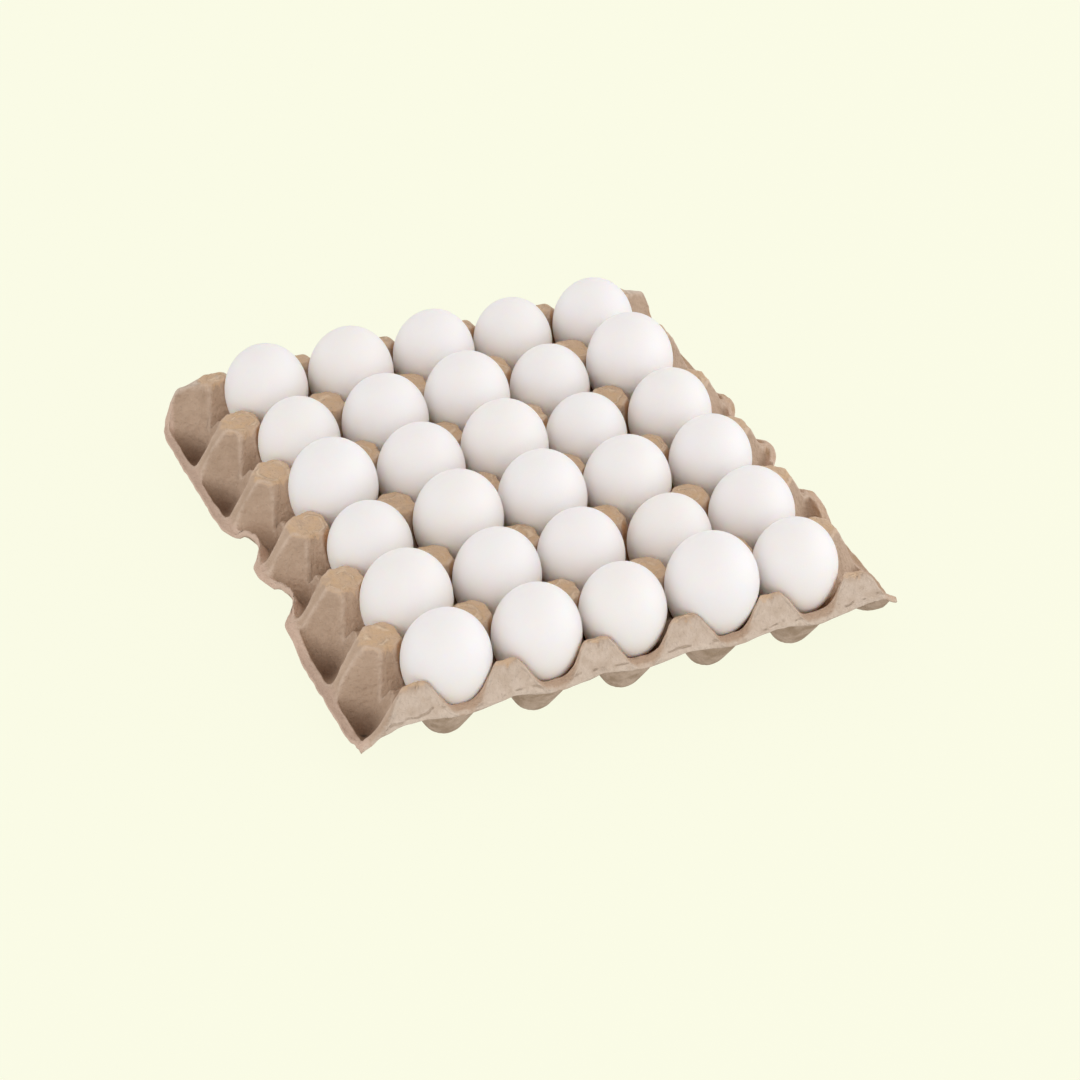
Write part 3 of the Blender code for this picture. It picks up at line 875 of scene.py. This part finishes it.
def tray_mesh():
    """The whole sheet, rough, settled and pressed by the eggs, within its box, and its masks."""
    points, quads, upper_count, lower_count = closed_sheet()
    points, crest, inside = points[:, :3], points[:, 3], points[:, 4]
    order = np.arange(len(points))
    is_upper = order < upper_count
    is_under = (order >= upper_count) & (order < upper_count + lower_count)
    masks = colour_masks(points, crest, inside, is_upper, is_under)
    proud = np.where(is_upper, 1.0, -1.0) * relief(points, crest)
    points = points + vertex_normals(points, quads) * proud[:, None]
    points = pressed(settled(points), np.where(is_under, LOWER_ROOM, UPPER_ROOM))
    low, high = (np.array(corner) for corner in cad_box)
    points[:, :2] = np.clip(points[:, :2], low[:2] + BOX_MARGIN, high[:2] - BOX_MARGIN)
    points[:, 2] = np.maximum(points[:, 2], low[2])
    return points, quads, masks


def make_piece(name, points, quads, material, masks):
    """A smooth mesh object from points and quads. A quad whose ends meet is a triangle."""
    whole = quads[:, 3] != quads[:, 0]
    sizes = np.where(whole, 4, 3)
    kept = np.ones(quads.shape, bool)
    kept[:, 3] = whole
    mesh = bpy.data.meshes.new(name)
    mesh.vertices.add(len(points))
    mesh.vertices.foreach_set("co", points.ravel())
    mesh.loops.add(sizes.sum())
    mesh.loops.foreach_set("vertex_index", quads[kept])
    mesh.polygons.add(len(quads))
    mesh.polygons.foreach_set("loop_start", np.cumsum(sizes) - sizes)
    mesh.update(calc_edges=True)
    mesh.shade_smooth()
    for mask, values in masks.items():
        layer = mesh.attributes.new(mask, "FLOAT", "POINT")
        layer.data.foreach_set("value", values)
    mesh.materials.append(material)
    piece = bpy.data.objects.new(name, mesh)
    bpy.context.scene.collection.objects.link(piece)
    return piece


def add_node(tree, kind, inputs, **settings):
    """A shader node with its settings, and its inputs set or, where given a socket, linked."""
    node = tree.nodes.new(kind)
    for name, value in settings.items():
        setattr(node, name, value)
    for name, value in inputs.items():
        if isinstance(value, bpy.types.NodeSocket):
            tree.links.new(value, node.inputs[name])
        else:
            node.inputs[name].default_value = value
    return node


def mixed(tree, factor, one, other):
    """A colour between two others by a factor from 0 to 1."""
    node = tree.nodes.new("ShaderNodeMix")
    node.data_type = "RGBA"
    for index, value in ((0, factor), (6, one), (7, other)):
        if isinstance(value, bpy.types.NodeSocket):
            tree.links.new(value, node.inputs[index])
        else:
            node.inputs[index].default_value = value
    return node.outputs[2]


def make_material(name, colour, roughness):
    """A Principled material, its shader and its node tree."""
    material = bpy.data.materials.new(name)
    material.use_nodes = True
    shader = material.node_tree.nodes["Principled BSDF"]
    shader.inputs["Base Color"].default_value = colour
    shader.inputs["Roughness"].default_value = roughness
    return material, shader, material.node_tree


def math_node(tree, operation, first, second=0.0):
    """The result of a Math node."""
    return add_node(tree, "ShaderNodeMath", {0: first, 1: second}, operation=operation).outputs[0]


def plus(tree, first, second):
    """A sum in a node tree."""
    return math_node(tree, "ADD", first, second)


def times(tree, first, second):
    """A product in a node tree."""
    return math_node(tree, "MULTIPLY", first, second)


def gap(tree, first, second):
    """The size of a difference in a node tree."""
    return math_node(tree, "ABSOLUTE", math_node(tree, "SUBTRACT", first, second))


def span(tree, value, low, high):
    """A value stretched so that low becomes 0 and high becomes 1, and kept between them."""
    return add_node(tree, "ShaderNodeMapRange", {
        "Value": value, "From Min": low, "From Max": high}).outputs["Result"]


def attributes(tree, *names):
    """The mesh's own masks, one output for each name."""
    return [add_node(tree, "ShaderNodeAttribute", {}, attribute_name=name).outputs["Fac"]
            for name in names]


def add_bump(tree, shader, height, settings):
    """A bump of this height in the shader's normal."""
    bump = add_node(tree, "ShaderNodeBump", {"Height": height, **settings})
    tree.links.new(bump.outputs["Normal"], shader.inputs["Normal"])


def group_of(name, outputs, inputs=()):
    """A new shader node group with float sockets, its input node, and its output node."""
    group = bpy.data.node_groups.new(name, "ShaderNodeTree")
    for socket in inputs:
        group.interface.new_socket(socket, in_out="INPUT", socket_type="NodeSocketFloat")
    for socket in outputs:
        group.interface.new_socket(socket, in_out="OUTPUT", socket_type="NodeSocketFloat")
    return group, group.nodes.new("NodeGroupInput"), group.nodes.new("NodeGroupOutput")


def make_grain():
    """A group that gives noise on Object coordinates, stretched from Low and High to 0 and 1."""
    group, given, result = group_of("grain", ("Mask",), ("Scale", "Low", "High", "Detail"))
    place = add_node(group, "ShaderNodeTexCoord", {})
    grain = add_node(group, "ShaderNodeTexNoise", {
        "Vector": place.outputs["Object"], "Scale": given.outputs["Scale"],
        "Detail": given.outputs["Detail"]})
    mask = span(group, grain.outputs["Fac"], given.outputs["Low"], given.outputs["High"])
    group.links.new(mask, result.inputs["Mask"])
    return group


def noise_mask(tree, group, size, low, high, detail):
    """The grain group's mask for a size in metres: low becomes 0 and high becomes 1."""
    return add_node(tree, "ShaderNodeGroup", {
        "Scale": 1 / size, "Low": low, "High": high, "Detail": detail},
        node_tree=group).outputs["Mask"]


def make_post_ring():
    """A group that draws a wavy band on each post's top, one round each end face, and a fold.

    Folded to one post, the distance is the greatest of |x|, |y| and 0.7 (|x| + |y|), made wavy by
    noise. The ring is 1 at 5.8 mm and falls to 0 within 1.5 mm. The border is 1 where |x| is
    6.2 mm + 0.8 (47 mm - z), and falls to 0 within 1.8 mm. The fold is 1 where |y| is 146 mm, and
    falls to 0 within 0.5 mm.
    """
    group, _, result = group_of("post ring", ("Ring", "Border", "Fold"))
    place = add_node(group, "ShaderNodeTexCoord", {}).outputs["Object"]
    wave = add_node(group, "ShaderNodeTexNoise", {
        "Vector": place, "Scale": WAVE_SCALE, "Detail": 1.0}).outputs["Fac"]
    parts = add_node(group, "ShaderNodeSeparateXYZ", {"Vector": place}).outputs
    folded = [math_node(group, "PINGPONG", plus(group, parts[axis], half), HALF)
              for axis, half in (("X", HALF_X), ("Y", HALF_Y))]
    askew = times(group, plus(group, *folded), ASKEW_SHARE)
    far = math_node(group, "MAXIMUM", math_node(group, "MAXIMUM", *folded), askew)
    shift = times(group, math_node(group, "SUBTRACT", wave, 0.5), WAVE_DEPTH)
    slight = times(group, shift, WAVE_SHARE)
    slant = plus(group, times(group, parts["Z"], BORDER_SLANT), folded[0])
    lengthwise = plus(group, math_node(group, "ABSOLUTE", parts["Y"]), slight)
    ring = span(group, gap(group, plus(group, far, shift), RING_AT), *RING_WIDTHS)
    border = span(group, gap(group, plus(group, slant, slight), BORDER_AT), *BORDER_WIDTHS)
    fold = span(group, gap(group, lengthwise, FOLD_AT), *FOLD_WIDTHS)
    for name, value in (("Ring", ring), ("Border", border), ("Fold", fold)):
        group.links.new(value, result.inputs[name])
    return group


def make_pulp(grain_group):
    """Moulded pulp: brown in the cups, pale on the rim and outside, tan on top, with painted light
    and shade: dark low down, warm in the full cups, light on the edges, darker underneath.
    """
    material, shader, tree = make_material("pulp", PULP_PALE, PULP_ROUGHNESS)
    crest, deep_shade_and_stain, top, outside, rim, stained, inner, under, lip, pit = attributes(
        tree, "crest", "deep_shade_and_stain", "top", "outside", "rim", "stained", "inner", "under", "lip", "pit")
    post = add_node(tree, "ShaderNodeGroup", {}, node_tree=make_post_ring()).outputs
    grain = {name: noise_mask(tree, grain_group, *values) for name, values in PULP_GRAINS.items()}

    def tinted(colour, effect, mask, other):
        """The colour turned to another by a mask, as far as the effect goes."""
        return mixed(tree, times(tree, mask, PULP_TINTS[effect]), colour, other)

    border = times(tree, times(tree, post["Border"], outside), grain["border"])
    fold = times(tree, times(tree, post["Fold"], grain["fold"]), outside)
    ring = times(tree, times(tree, post["Ring"], grain["ring"]), top)
    on_top = span(tree, plus(tree, top, times(tree, grain["ragged"], RAGGED)), *RAGGED_SPAN)
    colour = mixed(tree, grain["clouds"], PULP_PALE, PULP_GREY)
    colour = tinted(colour, "mottle", grain["mottle"], PULP_GREY)
    colour = mixed(tree, rim, colour, PULP_RIM)
    colour = tinted(colour, "stain", times(tree, stained, grain["stain"]), PULP_STAIN)
    colour = mixed(tree, outside, colour, mixed(tree, grain["ash"], PULP_ASH, PULP_DULL))
    # Painted highlight on the rounded borders of the end faces, where their edges catch the light.
    colour = tinted(colour, "border", border, PULP_HIGHLIGHT)
    # Painted shade: the lower face darker all over, mottled by its grain.
    colour = mixed(tree, under, colour, mixed(tree, grain["under"], PULP_UNDERSIDE_SHADE, PULP_SHADE))
    # Painted light: lighter patches on the up-facing flange past the face's foot.
    colour = tinted(colour, "flange_light", times(tree, lip, grain["flange_light"]), PULP_HIGHLIGHT)
    colour = tinted(colour, "fold", fold, PULP_SHADE)
    tan = tinted(PULP_TAN, "ochre", grain["ochre"], PULP_OCHRE)
    # Painted highlight on the raised wavy band near the edge of each post's top.
    tan = tinted(tan, "ring", ring, PULP_RING_HIGHLIGHT)
    colour = mixed(tree, on_top, colour, tan)
    # Painted highlight: lighter patches along the crests where the cups' walls meet the web.
    colour = tinted(colour, "wear_and_highlight", times(tree, crest, grain["wear_and_highlight"]), PULP_CREST_HIGHLIGHT)
    # Painted shade with some stain: dark brown in the pockets' bottoms.
    colour = mixed(tree, deep_shade_and_stain, colour, PULP_SHADE_AND_STAIN)
    # Painted shade: a near black spot where a small pit lies in shade.
    colour = mixed(tree, pit, colour, PULP_PIT_SHADE)
    # Painted bounce light: the full cups' gaps tinted warm brown instead of dark.
    colour = mixed(tree, inner, colour, PULP_BOUNCE_WARM)
    colour = tinted(colour, "fleck", grain["fleck"], PULP_FLECK)
    tree.links.new(colour, shader.inputs["Base Color"])
    height = plus(tree, grain["fibres"], times(tree, ring, PULP_HEIGHTS["ring"]))
    height = plus(tree, height, times(tree, border, PULP_HEIGHTS["border"]))
    height = plus(tree, height, times(tree, grain["lumps"], PULP_HEIGHTS["lumps"]))
    height = math_node(tree, "SUBTRACT", height, times(tree, fold, PULP_HEIGHTS["fold"]))
    add_bump(tree, shader, height, PULP_BUMP)
    return material


def make_eggshell(grain_group):
    """Eggshell: warm white, a little translucent, finely pitted, each egg in its own tone."""
    material, shader, tree = make_material("eggshell", SHELL_WHITE, SHELL_ROUGHNESS)
    for name, value in SHELL_SUBSURFACE.items():
        shader.inputs[name].default_value = value
    tone, low = attributes(tree, "tone", "low")
    blotch = times(tree, noise_mask(tree, grain_group, *SHELL_BLOTCH), SHELL_BLOTCH_TINT)
    colour = mixed(tree, tone, SHELL_WHITE, SHELL_WARM)
    # Painted bounce light: warmer towards the egg's lower part.
    colour = mixed(tree, low, colour, SHELL_BOUNCE_WARM)
    colour = mixed(tree, blotch, colour, SHELL_WARM)
    tree.links.new(colour, shader.inputs["Base Color"])
    add_bump(tree, shader, noise_mask(tree, grain_group, *SHELL_PITS), SHELL_BUMP)
    return material


def egg_points(radius):
    """An egg turned about Z, its widest place at the origin: its girth by egg_girth(cos(a)).

    Its height is r k cos(a), where k is its reach in radii above or below the widest place.
    """
    a = np.linspace(0, math.pi, EGG_RINGS + 1)[1:-1]
    b = np.linspace(0, 2 * math.pi, EGG_SIDES, endpoint=False)
    girth = egg_girth(radius, np.cos(a))
    height = radius * np.cos(a) * np.where(np.cos(a) < 0, EGG_BELOW, EGG_ABOVE)
    ring = np.stack([np.outer(girth, np.cos(b)), np.outer(girth, np.sin(b)),
                     np.outer(height, np.ones(EGG_SIDES))], axis=-1)
    ends = [[0, 0, EGG_ABOVE * radius], [0, 0, -EGG_BELOW * radius]]
    points = np.vstack([ring.reshape(-1, 3), ends])
    index = np.arange((EGG_RINGS - 1) * EGG_SIDES).reshape(EGG_RINGS - 1, EGG_SIDES)
    after = np.roll(index, -1, axis=1)
    quads = np.stack([index[:-1], index[1:], after[1:], after[:-1]], axis=-1).reshape(-1, 4)
    top = np.full(EGG_SIDES, len(points) - 2)
    foot = np.full(EGG_SIDES, len(points) - 1)
    caps = [np.stack([top, index[0], after[0], top], axis=1),
            np.stack([foot, after[-1], index[-1], foot], axis=1)]
    return points, np.vstack([quads] + caps)


def make_egg(row, column, material):
    """One egg in the place of its CAD node, in one of ten tones, warmed low down by painted bounce
    light.
    """
    radius, place, turn = egg_place(row, column)
    points, quads = egg_points(radius)
    points = points @ turn.T + place
    masks = {"tone": np.full(len(points), (row * 7 + column * 4) % 10 / 9),
             "low": ramp(points[:, 2], *EGG_BOUNCE_LOW)}
    piece = make_piece(f"shell_{row + 1}_{column + 1}", points, quads, material, masks)
    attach(piece, "root")
    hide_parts(f"egg_{row + 1}_{column + 1}")


def make_camera():
    """The camera, by its azimuth, height and roll about a point in the tray."""
    azimuth, elevation, roll = (math.radians(angle) for angle in CAMERA_ANGLES)
    back = Vector((math.sin(azimuth) * math.cos(elevation),
                   -math.cos(azimuth) * math.cos(elevation), math.sin(elevation)))
    right = Vector((math.cos(azimuth), math.sin(azimuth), 0))
    up = back.cross(right)
    turned_right = right * math.cos(roll) + up * math.sin(roll)
    turned_up = up * math.cos(roll) - right * math.sin(roll)
    place = Matrix((turned_right, turned_up, back)).transposed().to_4x4()
    place.translation = Vector(CAMERA_TARGET) + back * CAMERA_FAR
    data = bpy.data.cameras.new("camera")
    data.lens = CAMERA_LENS
    data.sensor_width = CAMERA_SENSOR
    data.clip_end = CAMERA_CLIP
    camera = bpy.data.objects.new("camera", data)
    camera.matrix_world = place
    bpy.context.scene.collection.objects.link(camera)
    bpy.context.scene.camera = camera


def make_light(name, place, size, power, colour):
    """A square area light that faces the tray."""
    data = bpy.data.lights.new(name, "AREA")
    data.size = size
    data.energy = power
    data.color = colour
    light = bpy.data.objects.new(name, data)
    light.location = place
    light.rotation_euler = Vector(place).to_track_quat("Z", "Y").to_euler()
    bpy.context.scene.collection.objects.link(light)


def make_stage():
    """A plain pale floor that glows evenly, a sky graded from the horizon up, and soft lights."""
    size = FLOOR_HALF_SIZE
    mesh = bpy.data.meshes.new("floor")
    mesh.from_pydata([(-size, -size, 0), (size, -size, 0), (size, size, 0), (-size, size, 0)], [],
                     [(0, 1, 2, 3)])
    material, shader, tree = make_material("floor", FLOOR_BASE, 1.0)
    shader.inputs["Specular IOR Level"].default_value = 0.0
    seen = add_node(tree, "ShaderNodeLightPath", {})
    colour = mixed(tree, seen.outputs["Is Camera Ray"], FLOOR_LIGHT, FLOOR_COLOUR)
    tree.links.new(colour, shader.inputs["Emission Color"])
    glow = add_node(tree, "ShaderNodeMapRange", {
        "Value": seen.outputs["Is Camera Ray"], "To Min": FLOOR_GLOW[0], "To Max": FLOOR_GLOW[1]})
    tree.links.new(glow.outputs["Result"], shader.inputs["Emission Strength"])
    mesh.materials.append(material)
    floor = bpy.data.objects.new("floor", mesh)
    bpy.context.scene.collection.objects.link(floor)
    world = bpy.data.worlds.new("world")
    bpy.context.scene.world = world
    world.use_nodes = True
    tree = world.node_tree
    place = add_node(tree, "ShaderNodeTexCoord", {})
    height = add_node(tree, "ShaderNodeSeparateXYZ", {"Vector": place.outputs["Generated"]})
    sky = mixed(tree, height.outputs["Z"], SKY_LOW, SKY_HIGH)
    tree.links.new(sky, tree.nodes["Background"].inputs["Color"])
    for name, values in LIGHTS.items():
        make_light(name, *values)
    bpy.context.scene.view_settings.view_transform = "Standard"


make_camera()
make_stage()
grains = make_grain()
pulp = make_pulp(grains)
shell = make_eggshell(grains)
tray_points, tray_quads, tray_masks = tray_mesh()
tray = make_piece("pulp_tray", tray_points, tray_quads, pulp, tray_masks)
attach(tray, "root")
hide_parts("tray")
for row in range(ROWS):
    for column in range(COLUMNS):
        make_egg(row, column, shell)
